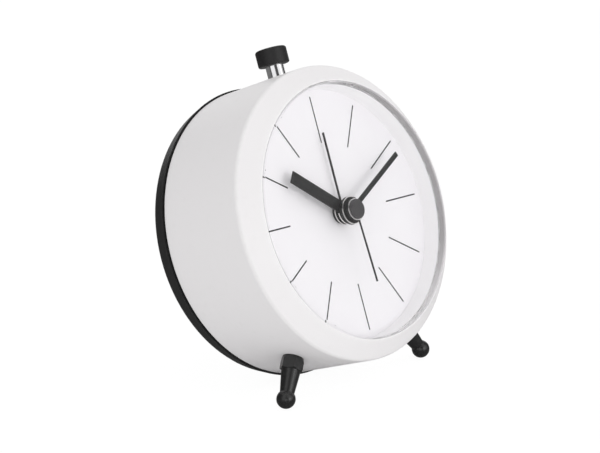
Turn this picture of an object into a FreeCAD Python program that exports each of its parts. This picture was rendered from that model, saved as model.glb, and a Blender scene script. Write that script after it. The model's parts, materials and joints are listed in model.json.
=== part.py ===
import FreeCAD, Part
import math
import os

V = FreeCAD.Vector

# A leaning desk alarm clock: a white drum on two ball feet, with a quartz movement inside.
# Sizes are in millimetres and angles in degrees.
# Clock frame: X to the right of someone reading the dial, Y from the dial into the drum,
# Z to 12 o'clock, with the origin in the middle of the dial's face.
# Clock angles turn clockwise from 12 o'clock as the dial is read.

# Fits
slip_gap = 0.1          # between fixed pieces that drop into each other
running_gap = 0.05      # round a shaft that turns or slides
moving_gap = 0.3        # between pieces that move past each other
trim_reach = 10.0       # of a trimming cylinder either side of the piece it trims

# Drum
case_radius = 47.5
case_wall = 2.2
case_rear_y = 28.9
shoulder_y = -4.0       # front end of the straight side
shoulder_round = 1.6
bezel_width = 6.3       # from the lens to the straight side
lip_y = -9.0            # foremost edge of the sloping bezel
lip_land = 0.35
lip_round = 0.25
bezel_wall = 2.0

# Lens, a clear cap pressed into the bezel
lens_front_y = -9.6
lens_thickness = 1.0
lens_bevel = 0.3
skirt_wall = 0.6
skirt_rear_y = -6.0

# Ring round the dial, and the dial
ring_front_lap = 0.35   # of the ring behind the lens's skirt
ring_taper = 0.45       # from the ring's front edge in to its rear edge
dial_inset = 1.8        # of the dial's edge from the case's inner wall
dial_thickness = 0.5

# Carrier behind the dial, with posts for the back cover's screws
carrier_thickness = 2.0
post_radius = 3.0
post_inset = 5.1        # of a post's middle from the case's inner wall
post_angles = (72, 180, 288)
cover_screw_radius = 1.5
cover_screw_bite = 12.0
cover_head_radius = 2.7
cover_head_height = 2.0
cover_head_recess = 3.2
drive_recess_radius = 0.5      # share of a screw head's radius
drive_recess_depth = 1.0
head_crown = 0.85       # share of a screw head's radius that stays flat on top

# Back cover
groove_width = 0.6      # shadow groove between case and cover
groove_depth = 1.5
cover_lip = 0.6         # of the cover's front edge past the case's side
cover_taper = 2.0       # from its front edge in to its rear edge
cover_depth = 7.2
cover_edge_round = 4.0
cover_wall = 1.8
spigot_length = 3.0
spigot_wall = 1.8

# Ball feet
foot_angle = 33.2       # either side of straight down
foot_y = 9.9
ball_drop = 13.5        # from the case's side to the middle of a ball
ball_radius = 3.0
leg_top_radius = 3.05
leg_foot_radius = 2.25
leg_stop = 1.9          # of the leg's foot from the middle of the ball
collar_radius = 3.8     # to the corners of the hexagonal collar
collar_height = 4.3
collar_crown_radius = 2.75     # where the dome starts, inside the case
collar_shoulder = 2.76  # of the dome's foot from its start
collar_play = 0.05      # of the dome outside the corners
collar_chamfer = 0.6
collar_end_lap = 0.15   # of the collar's end round the leg
stud_radius = 1.5
stud_tail = 0.6         # of a stud past its nut
foot_nut_radius = 3.2
foot_nut_height = 2.4
foot_washer_radius = 4.2
foot_washer_edge = 0.5  # thinnest part of a washer

# Button on top
button_y = 11.0
stem_radius = 3.0
stem_show = 3.9         # between case and cap
cap_radius = 5.15
cap_height = 5.6
cap_round = 0.9
cap_bottom_round = 0.6
cap_socket_depth = 3.6
button_travel = 3.0
guide_radius = 5.0
guide_rise = 1.6        # of the guide's lower end over the stem's
clip_radius = 4.2
clip_height = 0.8
clip_groove_depth = 0.6
clip_mouth = 2.4
switch_radius = 4.2
switch_height = 4.8
switch_floor = 1.2
spring_wire = 0.45
spring_radius = 1.9
spring_turns = 3.5
tip_radius = 1.3
tip_length = 1.5

# Hands: heights are from the dial's face to the front of each plate
hand_thickness = 0.4
alarm_height = 1.9
alarm_length = 26.1
alarm_width = 0.6
alarm_disc_radius = 3.9
alarm_angle = 0.0
hour_height = 3.6
hour_length = 25.2
hour_width = 4.0
hour_disc_radius = 4.1
hour_angle = 305.2
minute_height = 5.7
minute_length = 31.3
minute_width = 1.6
minute_disc_radius = 4.5
minute_hub_depth = 1.2
minute_angle = 62.9
second_height = 7.4
second_length = 23.7
second_width = 0.45
second_hub_radius = 3.5
second_hub_depth = 1.45
second_cap_radius = 3.2
second_cap_height = 0.75
second_cap_bevel = 0.25
second_angle = 177.0
collet_wall = 0.9
collet_depth = 0.9

# Concentric arbors, from the inside out
second_arbor_radius = 0.4
minute_tube_radius = 0.9
hour_tube_radius = 1.5
alarm_tube_radius = 2.1
bush_radius = 3.2
bush_height = 0.8       # proud of the dial's face
tube_proud = 0.15       # of a tube past its hand

# Movement
movement_size = 56.0
movement_corner = 3.0
movement_plate_thickness = 1.6
housing_wall = 1.4
wheel_thickness = 0.9
wheel_spacing = 0.65    # clear space between two levels of wheels
pinion_overhang = 0.15
alarm_level, hour_level, motion_level, centre_level, third_level, second_level, rotor_level = range(7)
arbor_radius = 0.6
pivot_radius = 0.35
pivot_length = 0.8
setting_arbor_radius = 1.5
setting_arbor_end_y = 24.0
hub_radius = 2.0        # of a wheel's moulded boss
boss_radius = 1.0       # between a wheel and its pinion
tooth_thinning = 0.045  # taken off each flank
pressure_angle = 20.0
wheel_addendum = 0.72   # in modules
pinion_addendum = 0.85
dedendum = 1.15
movement_screw_reach = 24.0
movement_screw_radius = 0.95
movement_screw_head = 1.9
movement_screw_end_y = 9.0
movement_screw_clear = 0.5     # of a screw from the end of its hole
pillar_radius = 3.0

# Wheel train
train_distance = 13.0   # from the centre to the third and intermediate arbors
third_bearing = 120.0
intermediate_bearing = 240.0
rotor_distance = 10.8
rotor_bearing = 180.0
motion_distance = 11.4
motion_bearing = 0.0
time_set_bearing = 97.0        # from the motion wheel
rotor_teeth = 8
intermediate_teeth = 40
intermediate_pinion_teeth = 8
second_teeth = 48
second_pinion_teeth = 8
third_teeth = 60
third_pinion_teeth = 8
centre_teeth = 64
cannon_teeth = 10
motion_teeth = 30
motion_pinion_teeth = 8
hour_teeth = 32
time_set_teeth = 10
alarm_teeth = 30
alarm_set_teeth = 18
clutch_sleeve_radius = 1.35
clutch_washer_radius = 2.8
clutch_washer_thickness = 0.2

# Motor and circuit
magnet_radius = 2.9
magnet_height = 1.5
stator_hole_radius = 3.3
stator_ring_radius = 5.2
stator_thickness = 0.8
stator_arm_width = 3.6
coil_z = -22.9
coil_left_x = -4.0
coil_right_x = 16.5
coil_radius = 3.0
coil_inner_radius = 1.9
coil_flange = 0.8
core_width = 2.4
core_overlap = 4.0      # of the core on each stator leg
stator_post_radius = 1.6
board_width = 41.0
board_depth = 8.6
board_thickness = 0.8
board_z = 21.4
board_y = 13.2
board_post_x = 18.0
board_post_radius = 1.4
board_corner = 0.8
crystal_radius = 1.0
crystal_length = 6.0
crystal_x = 9.0
chip_radius = 2.6
chip_top_radius = 1.82
chip_height = 0.9
chip_x = -6.0

# Battery and its tray
battery_radius = 7.1
battery_length = 50.2
battery_round = 0.6
nub_radius = 2.6
nub_height = 1.2
battery_y = 26.3
battery_play = 0.5      # round the battery in its tray
contact_space = 1.7     # between each battery end and the tray's end wall
tray_wall = 1.0
tray_inset = 0.3        # of the tray's lower corners from the cover's spigot
contact_thickness = 0.4
contact_width = 9.0
leaf_radius = 3.1       # where the negative contact's leaf leaves its plate
door_thickness = 1.6
door_lap = 1.6          # of the door's seat round the tray's mouth
door_corner = 3.0
door_frame_wall = 1.0
door_seat_thickness = 1.4
door_ridge_count = 4
door_ridge_pitch = 2.4
door_ridge_width = 0.9
door_ridge_length = 14.0
door_ridge_height = 0.4
door_rib_height = 1.0
door_travel = 20.0

# Knobs, alarm switch and sounder at the back
knob_radius = 7.0
knob_height = 5.6
knob_edge = 0.9         # height of the bevels at both ends
knob_front_inset = 0.6
knob_rear_inset = 0.9
knob_rise = 0.6         # clear of the cover
knob_flutes = 20
knob_flute_depth = 0.45
knob_dish_radius = 4.4
knob_dish_depth = 0.5
knob_sleeve_radius = 2.7
knob_sleeve_end_y = 21.5
lever_z = -6.0
lever_x = -2.0
lever_travel = 4.0
lever_length = 5.0
lever_width = 3.6
lever_height = 1.4
lever_neck = 1.6
lever_slide_thickness = 0.9
lever_round = 0.6
lever_base_wall = 1.0
lever_base_height = 4.2
buzzer_z = 29.0
buzzer_radius = 9.5
buzzer_thickness = 0.5
buzzer_disc_radius = 7.1
buzzer_disc_thickness = 0.8
slot_count = 5
slot_pitch = 2.8
slot_width = 1.2
slot_length = 11.0

# Levels that follow from the sizes above
lens_radius = case_radius - bezel_width
lens_bore = lens_radius + slip_gap
lip_radius = lens_bore + lip_land
case_inner = case_radius - case_wall
ring_outer = case_inner - slip_gap
ring_front_radius = lens_radius - ring_front_lap
ring_rear_radius = ring_front_radius - ring_taper
dial_radius = case_inner - dial_inset
carrier_front_y = dial_thickness
carrier_rear_y = carrier_front_y + carrier_thickness
plate_rear_y = carrier_rear_y + movement_plate_thickness
level_pitch = wheel_thickness + wheel_spacing
train_rear_y = plate_rear_y + (rotor_level + 1) * level_pitch + wheel_spacing
housing_rear_y = train_rear_y + housing_wall
cover_front_y = case_rear_y + groove_width
cover_rear_y = cover_front_y + cover_depth
cover_inner_y = cover_rear_y - cover_wall
cover_front_radius = case_radius + cover_lip
cover_rear_radius = cover_front_radius - cover_taper
seat_radius = case_radius - groove_depth
spigot_front_y = case_rear_y - spigot_length
spigot_outer = case_inner - slip_gap
spigot_inner = spigot_outer - spigot_wall
post_reach = case_inner - post_inset
ball_reach = case_radius + ball_drop
collar_end_reach = case_radius + collar_height
cap_bottom_z = case_radius + stem_show
stem_end_z = movement_size / 2 + switch_height + button_travel + moving_gap
guide_end_z = stem_end_z + guide_rise
bezel_slope = (shoulder_y - lip_y) / (case_radius - lip_radius)
bezel_depth = bezel_wall * math.hypot(1, bezel_slope)
tray_half_length = battery_length / 2 + contact_space
tray_half_height = battery_radius + battery_play
tray_floor_y = battery_y - battery_radius - battery_play
tray_reach = math.sqrt((spigot_inner - tray_inset) ** 2 - (tray_half_length + tray_wall) ** 2)
battery_z = tray_half_height + tray_wall - tray_reach


def level(index):
    """Front face of one level of wheels, counted from the movement's front plate."""
    return plate_rear_y + wheel_spacing + index * level_pitch


def polar(distance, bearing, origin=(0, 0)):
    """Point (x, z) at a distance and clock angle from an origin."""
    turn = math.radians(bearing)
    return (origin[0] + distance * math.sin(turn), origin[1] + distance * math.cos(turn))


def bezel_inside(radius):
    """Depth of the bezel's inner slope at a radius."""
    return shoulder_y - bezel_slope * (case_radius - radius) + bezel_depth


def corner_points(before, corner, after, radius):
    """Start, middle and end of the round that replaces a corner."""
    back = (before - corner).normalize()
    ahead = (after - corner).normalize()
    half = back.getAngle(ahead) / 2
    reach = radius / math.tan(half)
    middle = (back + ahead).normalize() * (radius / math.sin(half) - radius)
    return corner + back * reach, corner + middle, corner + ahead * reach


def outline(corners):
    """Closed wire through flat (u, v) or (u, v, round) corners."""
    points = [V(c[0], c[1], 0) for c in corners]
    rounds = [c[2] if len(c) > 2 else 0 for c in corners]
    edges = []
    ends = []
    for i, corner in enumerate(points):
        if rounds[i]:
            ahead = points[(i + 1) % len(points)]
            start, middle, end = corner_points(points[i - 1], corner, ahead, rounds[i])
            edges.append(Part.Arc(start, middle, end).toShape())
            ends.append((start, end))
        else:
            ends.append((corner, corner))
    for i, (start, end) in enumerate(ends):
        ahead = ends[(i + 1) % len(ends)][0]
        if (ahead - end).Length > 1e-6:
            edges.append(Part.LineSegment(end, ahead).toShape())
    return Part.Wire(Part.__sortEdges__(edges))


def turned(corners, origin=(0, 0, 0), direction=(0, 1, 0)):
    """Solid of revolution from (radius, height) corners, standing on an origin along a direction."""
    face = Part.Face(outline(corners))
    face.rotate(V(0, 0, 0), V(1, 0, 0), 90)
    solid = face.revolve(V(0, 0, 0), V(0, 0, 1), 360)
    aim = FreeCAD.Rotation(V(0, 0, 1), V(*direction))
    solid.Placement = FreeCAD.Placement(V(*origin), aim)
    return solid


def slab(corners, front_y, rear_y):
    """Plate with an (x, z) outline between two depths."""
    face = Part.Face(outline(corners))
    face.rotate(V(0, 0, 0), V(1, 0, 0), 90)
    face.translate(V(0, front_y, 0))
    return face.extrude(V(0, rear_y - front_y, 0))


def rod(radius, front_y, rear_y, centre=(0, 0)):
    """Cylinder along the case axis."""
    base = V(centre[0], front_y, centre[1])
    return Part.makeCylinder(radius, rear_y - front_y, base, V(0, 1, 0))


def trimming_rod(radius, middle_y):
    """Cylinder round the case axis that trims a piece to the drum."""
    return rod(radius, middle_y - trim_reach, middle_y + trim_reach)


def tube(outer, inner, front_y, rear_y, centre=(0, 0)):
    """Hollow cylinder along the case axis."""
    return rod(outer, front_y, rear_y, centre).cut(rod(inner, front_y, rear_y, centre))


def block(x0, x1, y0, y1, z0, z1):
    """Box between its low and high corners."""
    return Part.makeBox(x1 - x0, y1 - y0, z1 - z0, V(x0, y0, z0))


def rectangle(half_width, half_height, corner=0, centre=(0, 0)):
    """Corners of a rectangle in the plane of the dial."""
    x, z = centre
    signs = ((-1, -1), (1, -1), (1, 1), (-1, 1))
    return [(x + i * half_width, z + j * half_height, corner) for i, j in signs]


def join(*shapes):
    """One solid from shapes that overlap or share faces."""
    return shapes[0].fuse(list(shapes[1:])).removeSplitter()


def screw(head_radius, head_height, shank_radius, length, origin, direction):
    """Screw with its head's top at the origin and its shank along a direction."""
    recess = head_radius * drive_recess_radius
    solid = turned([
        (0, drive_recess_depth),
        (recess, drive_recess_depth),
        (recess, 0),
        (head_radius * head_crown, 0),
        (head_radius, head_height / 4),
        (head_radius, head_height),
        (shank_radius, head_height),
        (shank_radius, length),
        (0, length),
    ], origin, direction)
    return solid


# Gears

def involute(angle):
    return math.tan(angle) - angle


def half_tooth(teeth, module, radius):
    """Half of a tooth's thickness at a radius, as an angle in degrees."""
    pitch = teeth * module / 2
    base = pitch * math.cos(math.radians(pressure_angle))
    lean = math.acos(min(1, base / radius))
    spread = involute(math.radians(pressure_angle)) - involute(lean)
    return 90 / teeth + math.degrees(spread - tooth_thinning / pitch)


def gear(teeth, module, addendum, front_y, rear_y, centre=(0, 0), phase=0):
    """Spur gear with involute flanks; phase is the clock angle of one tooth."""
    pitch = teeth * module / 2
    root = pitch - dedendum * module
    tip = pitch + addendum * module
    small = teeth < 20
    radii = (root, pitch, tip) if small else (root, tip)
    points = []
    for i in range(teeth):
        middle = phase + i * 360 / teeth
        for radius in radii:
            points.append(polar(radius, middle - half_tooth(teeth, module, radius), centre))
        for radius in reversed(radii):
            points.append(polar(radius, middle + half_tooth(teeth, module, radius), centre))
    return slab(points, front_y, rear_y)


def pinion(teeth, module, index, centre=(0, 0), phase=0):
    """Small gear that overhangs the wheel it drives on both sides."""
    front = level(index) - pinion_overhang
    rear = level(index) + wheel_thickness + pinion_overhang
    return gear(teeth, module, pinion_addendum, front, rear, centre, phase)


def wheel(teeth, module, index, centre=(0, 0), phase=0):
    front = level(index)
    return gear(teeth, module, wheel_addendum, front, front + wheel_thickness, centre, phase)


def meshing(driver_teeth, driver_phase, teeth, bearing):
    """Phase of a gear whose gap faces the driver's tooth along a bearing from the driver."""
    lead = bearing - driver_phase
    return bearing + 180 + (lead * driver_teeth + 180) / teeth


def module_for(distance, teeth_a, teeth_b):
    return 2 * distance / (teeth_a + teeth_b)


def arbor(centre, front_y=plate_rear_y, rear_y=train_rear_y):
    """Axle with a fine pivot at each end, clear of the plates by the running gap."""
    body = rod(arbor_radius, front_y + running_gap, rear_y - running_gap, centre)
    pivot = rod(pivot_radius, front_y - pivot_length, rear_y + pivot_length, centre)
    return join(body, pivot)


def pivot_hole(centre, face_y, direction):
    """Blind hole for a pivot, sunk from a plate's face."""
    depth = pivot_length + running_gap
    return rod(
        pivot_radius + running_gap,
        min(face_y, face_y + direction * depth),
        max(face_y, face_y + direction * depth),
        centre,
    )


third_at = polar(train_distance, third_bearing)
intermediate_at = polar(train_distance, intermediate_bearing)
rotor_at = polar(rotor_distance, rotor_bearing, intermediate_at)
motion_at = polar(motion_distance, motion_bearing)
time_set_distance = motion_distance * (motion_teeth + time_set_teeth) / (motion_teeth + cannon_teeth)
time_set_at = polar(time_set_distance, time_set_bearing, motion_at)
alarm_set_at = (-time_set_at[0], time_set_at[1])
alarm_set_distance = math.hypot(*alarm_set_at)
alarm_set_bearing = math.degrees(math.atan2(*alarm_set_at))

second_module = module_for(train_distance, second_teeth, intermediate_pinion_teeth)
rotor_module = module_for(rotor_distance, rotor_teeth, intermediate_teeth)
third_module = module_for(train_distance, third_teeth, second_pinion_teeth)
centre_module = module_for(train_distance, centre_teeth, third_pinion_teeth)
motion_module = module_for(motion_distance, motion_teeth, cannon_teeth)
hour_module = module_for(motion_distance, hour_teeth, motion_pinion_teeth)
alarm_module = module_for(alarm_set_distance, alarm_teeth, alarm_set_teeth)


# Case, lens and dial

def make_case_shell():
    ledge_radius = case_radius - (shoulder_y + bezel_depth - skirt_rear_y) / bezel_slope
    shell = turned([
        (case_radius, case_rear_y),
        (case_radius, shoulder_y, shoulder_round),
        (lip_radius, lip_y, lip_round),
        (lens_bore, lip_y),
        (lens_bore, skirt_rear_y),
        (ledge_radius, skirt_rear_y),
        (case_inner, bezel_inside(case_inner)),
        (case_inner, case_rear_y),
    ])
    stem_hole = Part.makeCylinder(stem_radius + slip_gap, case_radius, V(0, button_y, 0), V(0, 0, 1))
    shell = shell.cut(stem_hole)
    for side in (-1, 1):
        shell = shell.cut(foot_rod(side, stud_radius + slip_gap, 0, case_radius + 1))
    return shell


def make_lens():
    return turned([
        (0, lens_front_y),
        (lens_radius - lens_bevel, lens_front_y),
        (lens_radius, lens_front_y + lens_bevel),
        (lens_radius, skirt_rear_y),
        (lens_radius - skirt_wall, skirt_rear_y),
        (lens_radius - skirt_wall, lens_front_y + lens_thickness),
        (0, lens_front_y + lens_thickness),
    ])


def make_dial_ring():
    front_outer = case_radius - (shoulder_y + bezel_depth + slip_gap - skirt_rear_y) / bezel_slope
    return turned([
        (ring_front_radius, skirt_rear_y),
        (front_outer, skirt_rear_y),
        (ring_outer, bezel_inside(ring_outer) + slip_gap),
        (ring_outer, dial_thickness),
        (dial_radius + slip_gap, dial_thickness),
        (dial_radius + slip_gap, 0),
        (ring_rear_radius, 0),
    ])


def make_dial():
    return tube(dial_radius, bush_radius + slip_gap, 0, dial_thickness)


def carrier_posts():
    end_y = cover_inner_y - cover_head_recess
    return [rod(post_radius, carrier_rear_y, end_y, polar(post_reach, a)) for a in post_angles]


def movement_corners():
    reach = movement_screw_reach
    return [(i * reach, j * reach) for i in (-1, 1) for j in (-1, 1)]


def make_dial_carrier():
    plate = rod(ring_outer, carrier_front_y, carrier_rear_y)
    body = join(plate, *carrier_posts())
    end_y = cover_inner_y - cover_head_recess
    cuts = [rod(bush_radius + slip_gap, carrier_front_y, carrier_rear_y)]
    for angle in post_angles:
        cuts.append(rod(cover_screw_radius, end_y - cover_screw_bite, end_y, polar(post_reach, angle)))
    for corner in movement_corners():
        cuts.append(rod(movement_screw_radius + slip_gap, carrier_front_y, carrier_rear_y, corner))
        sink = carrier_front_y + carrier_thickness / 2
        cuts.append(rod(movement_screw_head + slip_gap, carrier_front_y, sink, corner))
    return body.cut(cuts)


# Back cover and what it carries

def tray_box(margin, front_y, rear_y):
    plan = rectangle(tray_half_length + margin, tray_half_height + margin, 0, (0, battery_z))
    return slab(plan, front_y, rear_y)


def door_plan(margin=0):
    half_x = tray_half_length + door_lap + margin
    half_z = tray_half_height + door_lap + margin
    return rectangle(half_x, half_z, door_corner + margin, (0, battery_z))


def knob_holes():
    places = (time_set_at, alarm_set_at)
    radius = knob_sleeve_radius + moving_gap
    return [rod(radius, cover_inner_y - 1, cover_rear_y + 1, place) for place in places]


def sound_slots():
    cuts = []
    for i in range(slot_count):
        x = (i - (slot_count - 1) / 2) * slot_pitch
        plan = rectangle(slot_width / 2, slot_length / 2, slot_width / 2, (x, buzzer_z))
        cuts.append(slab(plan, cover_inner_y - 1, cover_rear_y + 1))
    return cuts


def lever_slot():
    half = (lever_neck + lever_travel) / 2 + moving_gap
    middle = lever_x + lever_travel / 2
    plan = rectangle(half, lever_neck / 2 + moving_gap, 0, (middle, lever_z))
    return slab(plan, cover_inner_y - 1, cover_rear_y + 1)


def cover_shell():
    return turned([
        (spigot_outer, spigot_front_y),
        (spigot_outer, case_rear_y),
        (seat_radius, case_rear_y),
        (seat_radius, cover_front_y),
        (cover_front_radius, cover_front_y),
        (cover_rear_radius, cover_rear_y, cover_edge_round),
        (0, cover_rear_y),
        (0, cover_inner_y),
        (spigot_inner, cover_inner_y),
        (spigot_inner, spigot_front_y),
    ])


def make_back_cover():
    shell = cover_shell()
    tray = tray_box(tray_wall, tray_floor_y - tray_wall, cover_inner_y)
    seat_y = cover_rear_y - door_thickness
    seat = slab(door_plan(door_frame_wall), seat_y - door_seat_thickness, cover_inner_y)
    bosses = []
    cuts = knob_holes() + sound_slots() + [lever_slot()]
    boss_front = cover_inner_y - cover_head_recess
    head_y = cover_rear_y - cover_head_recess
    for angle in post_angles:
        place = polar(post_reach, angle)
        bosses.append(rod(cover_head_radius + cover_wall / 2, boss_front, cover_inner_y, place))
        cuts.append(rod(cover_head_radius + slip_gap, head_y, cover_rear_y, place))
        cuts.append(rod(cover_screw_radius + slip_gap, boss_front, cover_rear_y, place))
    cuts.append(tray_box(0, tray_floor_y, cover_rear_y))
    cuts.append(slab(door_plan(), seat_y, cover_rear_y))
    return join(shell, tray, seat, *bosses).cut(cuts)


def make_cover_screws():
    head_y = cover_rear_y - cover_head_recess + cover_head_height
    length = cover_head_height + cover_wall + cover_screw_bite - 1
    places = [polar(post_reach, angle) for angle in post_angles]
    radius = cover_screw_radius
    return Part.makeCompound([
        screw(cover_head_radius, cover_head_height, radius, length, (x, head_y, z), (0, -1, 0))
        for x, z in places
    ])


def make_battery_door():
    seat_y = cover_rear_y - door_thickness
    plate = slab(door_plan(-slip_gap), seat_y, cover_rear_y)
    ridges = []
    for i in range(door_ridge_count):
        z = battery_z + (i - (door_ridge_count - 1) / 2) * door_ridge_pitch
        plan = rectangle(door_ridge_length / 2, door_ridge_width / 2, 0, (0, z))
        ridges.append(slab(plan, cover_rear_y, cover_rear_y + door_ridge_height))
    for x in (-tray_half_length / 2, tray_half_length / 2):
        plan = rectangle(tray_wall / 2, tray_half_height - moving_gap, 0, (x, battery_z))
        ridges.append(slab(plan, seat_y - door_rib_height, seat_y))
    return join(plate, *ridges)


def make_battery():
    half = battery_length / 2
    return turned([
        (0, -half),
        (battery_radius, -half, battery_round),
        (battery_radius, half - nub_height, battery_round),
        (nub_radius, half - nub_height),
        (nub_radius, half),
        (0, half),
    ], (0, battery_y, battery_z), (1, 0, 0))


def make_positive_contact():
    end = tray_half_length
    plate = block(end - contact_thickness, end, battery_y - contact_width / 2,
                  battery_y + contact_width / 2, battery_z - contact_width / 2,
                  battery_z + contact_width / 2)
    reach = end - contact_thickness
    dimple = turned([
        (0, 0),
        (nub_radius, 0),
        (nub_radius / 2, reach - battery_length / 2),
        (0, reach - battery_length / 2),
    ], (reach, battery_y, battery_z), (-1, 0, 0))
    return join(plate, dimple)


def coil_spring(wire, radius, turns, height, origin, direction):
    """Coil spring of square wire, standing on an origin along a direction."""
    pitch = (height - wire) / turns
    path = Part.makeHelix(pitch, height - wire, radius)
    half = wire / 2
    corners = [V(radius - half, 0, -half), V(radius + half, 0, -half),
               V(radius + half, 0, half), V(radius - half, 0, half)]
    section = Part.makePolygon(corners + corners[:1])
    coil = Part.Wire(path).makePipeShell([section], True, True)
    coil.translate(V(0, 0, half))
    aim = FreeCAD.Rotation(V(0, 0, 1), V(*direction))
    coil.Placement = FreeCAD.Placement(V(*origin), aim).multiply(coil.Placement)
    return coil


def make_negative_contact():
    end = -tray_half_length
    plate = block(end, end + contact_thickness, battery_y - contact_width / 2,
                  battery_y + contact_width / 2, battery_z - contact_width / 2,
                  battery_z + contact_width / 2)
    start = end + contact_thickness
    depth = -battery_length / 2 - start
    leaf = turned([
        (0, 0),
        (leaf_radius, 0),
        (nub_radius, depth),
        (0, depth),
    ], (start, battery_y, battery_z), (1, 0, 0))
    return join(plate, leaf)


# Feet

def foot_direction(side):
    x, z = polar(1, 180 - side * foot_angle)
    return (x, 0, z)


def foot_rod(side, radius, start, end):
    """Cylinder along a foot's axis between two distances from the case axis."""
    x, _, z = foot_direction(side)
    return Part.makeCylinder(radius, end - start, V(x * start, foot_y, z * start), V(x, 0, z))


def make_foot(side):
    direction = foot_direction(side)
    origin = (0, foot_y, 0)
    leg = turned([
        (0, collar_end_reach - 1),
        (leg_top_radius, collar_end_reach - 1),
        (leg_top_radius, collar_end_reach),
        (leg_foot_radius, ball_reach - leg_stop),
        (0, ball_reach),
    ], origin, direction)
    ball = Part.makeSphere(ball_radius)
    ball.translate(V(direction[0] * ball_reach, foot_y, direction[2] * ball_reach))
    collar_start = case_radius - 1
    collar_length = collar_end_reach - collar_start
    collar = hexagon(collar_radius, collar_length)
    dome = turned([
        (0, -1),
        (collar_crown_radius, -1),
        (collar_radius + collar_play, collar_shoulder),
        (collar_radius + collar_play, collar_length - collar_chamfer),
        (leg_top_radius + collar_end_lap, collar_length),
        (0, collar_length),
    ], (0, 0, 0), (0, 0, 1))
    collar = collar.common(dome)
    aim = FreeCAD.Rotation(V(0, 0, 1), V(*direction))
    start = V(direction[0] * collar_start, foot_y, direction[2] * collar_start)
    collar.Placement = FreeCAD.Placement(start, aim)
    collar = collar.cut(trimming_rod(case_radius, foot_y))
    stud_end = case_inner - foot_washer_thickness() - foot_nut_height - stud_tail
    stud = foot_rod(side, stud_radius, stud_end, collar_end_reach)
    return join(collar, leg, ball, stud)


def hexagon(radius, height):
    """Hexagonal prism along Z, with a flat towards the front."""
    points = [V(*polar(radius, 60 * i + 30), 0) for i in range(6)]
    return Part.Face(Part.makePolygon(points + points[:1])).extrude(V(0, 0, height))


def make_foot_nuts():
    nuts = []
    for side in (-1, 1):
        direction = foot_direction(side)
        start = case_inner - foot_washer_thickness() - foot_nut_height
        nut = hexagon(foot_nut_radius, foot_nut_height)
        aim = FreeCAD.Rotation(V(0, 0, 1), V(*direction))
        place = V(direction[0] * start, foot_y, direction[2] * start)
        nut.Placement = FreeCAD.Placement(place, aim)
        nuts.append(nut.cut(foot_rod(side, stud_radius, 0, case_radius)))
    return Part.makeCompound(nuts)


def foot_washer_thickness():
    """Enough for a flat washer face inside the round case wall."""
    return case_inner - math.sqrt(case_inner ** 2 - foot_washer_radius ** 2) + foot_washer_edge


def make_foot_washers():
    washers = []
    for side in (-1, 1):
        start = case_inner - foot_washer_thickness()
        washer = foot_rod(side, foot_washer_radius, start, case_inner)
        washer = washer.common(trimming_rod(case_inner, foot_y))
        washers.append(washer.cut(foot_rod(side, stud_radius + slip_gap, 0, case_radius)))
    return Part.makeCompound(washers)


# Button

def button_rod(radius, low, high):
    return Part.makeCylinder(radius, high - low, V(0, button_y, low), V(0, 0, 1))


def make_button_cap():
    top = cap_bottom_z + cap_height
    return turned([
        (0, cap_bottom_z + cap_socket_depth),
        (stem_radius, cap_bottom_z + cap_socket_depth),
        (stem_radius, cap_bottom_z),
        (cap_radius, cap_bottom_z, cap_bottom_round),
        (cap_radius, top, cap_round),
        (0, top),
    ], (0, button_y, 0), (0, 0, 1))


def make_button_stem():
    clip_low = guide_end_z - running_gap - clip_height
    groove = stem_radius - clip_groove_depth
    return turned([
        (0, stem_end_z - tip_length),
        (tip_radius, stem_end_z - tip_length),
        (tip_radius, stem_end_z),
        (stem_radius, stem_end_z),
        (stem_radius, clip_low),
        (groove, clip_low),
        (groove, clip_low + clip_height),
        (stem_radius, clip_low + clip_height),
        (stem_radius, cap_bottom_z + cap_socket_depth),
        (0, cap_bottom_z + cap_socket_depth),
    ], (0, button_y, 0), (0, 0, 1))


def make_stem_clip():
    low = guide_end_z - running_gap - clip_height
    ring = button_rod(clip_radius, low, low + clip_height)
    ring = ring.cut(button_rod(stem_radius - clip_groove_depth, low, low + clip_height))
    mouth = block(-clip_mouth / 2, clip_mouth / 2, button_y - clip_radius - 1, button_y,
                  low, low + clip_height)
    return ring.cut(mouth)


def make_stem_guide():
    body = button_rod(guide_radius, guide_end_z, case_radius)
    body = body.common(trimming_rod(case_inner, button_y))
    return body.cut(button_rod(stem_radius + running_gap, 0, case_radius))


def make_snooze_switch():
    low = movement_size / 2
    cup = button_rod(switch_radius, low, low + switch_height)
    bore = spring_radius + spring_wire
    return cup.cut(button_rod(bore, low + switch_floor, low + switch_height))


def make_button_spring():
    low = movement_size / 2 + switch_floor
    height = stem_end_z - low
    return coil_spring(spring_wire, spring_radius, spring_turns, height, (0, button_y, low), (0, 0, 1))


# Hands, pointing to 12 o'clock until they are turned

def hand_at(shape, angle):
    shape.rotate(V(0, 0, 0), V(0, 1, 0), angle)
    return shape


def hand_plate(length, width, disc_radius, bore, height):
    """Flat hand with a disc at the arbor."""
    front_y = -height
    half = width / 2
    arm = slab([(-half, 0), (half, 0), (half, length), (-half, length)], front_y,
               front_y + hand_thickness)
    disc = rod(disc_radius, front_y, front_y + hand_thickness)
    return join(arm, disc).cut(rod(bore, front_y, front_y + hand_thickness))


def collet(bore, height):
    """Ring behind a hand's plate that grips its tube."""
    front_y = -height + hand_thickness
    return tube(bore + collet_wall, bore, front_y, front_y + collet_depth)


def make_alarm_hand():
    plate = hand_plate(alarm_length, alarm_width, alarm_disc_radius, alarm_tube_radius, alarm_height)
    return hand_at(plate, alarm_angle)


def make_hour_hand():
    plate = hand_plate(hour_length, hour_width, hour_disc_radius, hour_tube_radius, hour_height)
    ring = collet(hour_tube_radius, hour_height)
    return hand_at(join(plate, ring), hour_angle)


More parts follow.
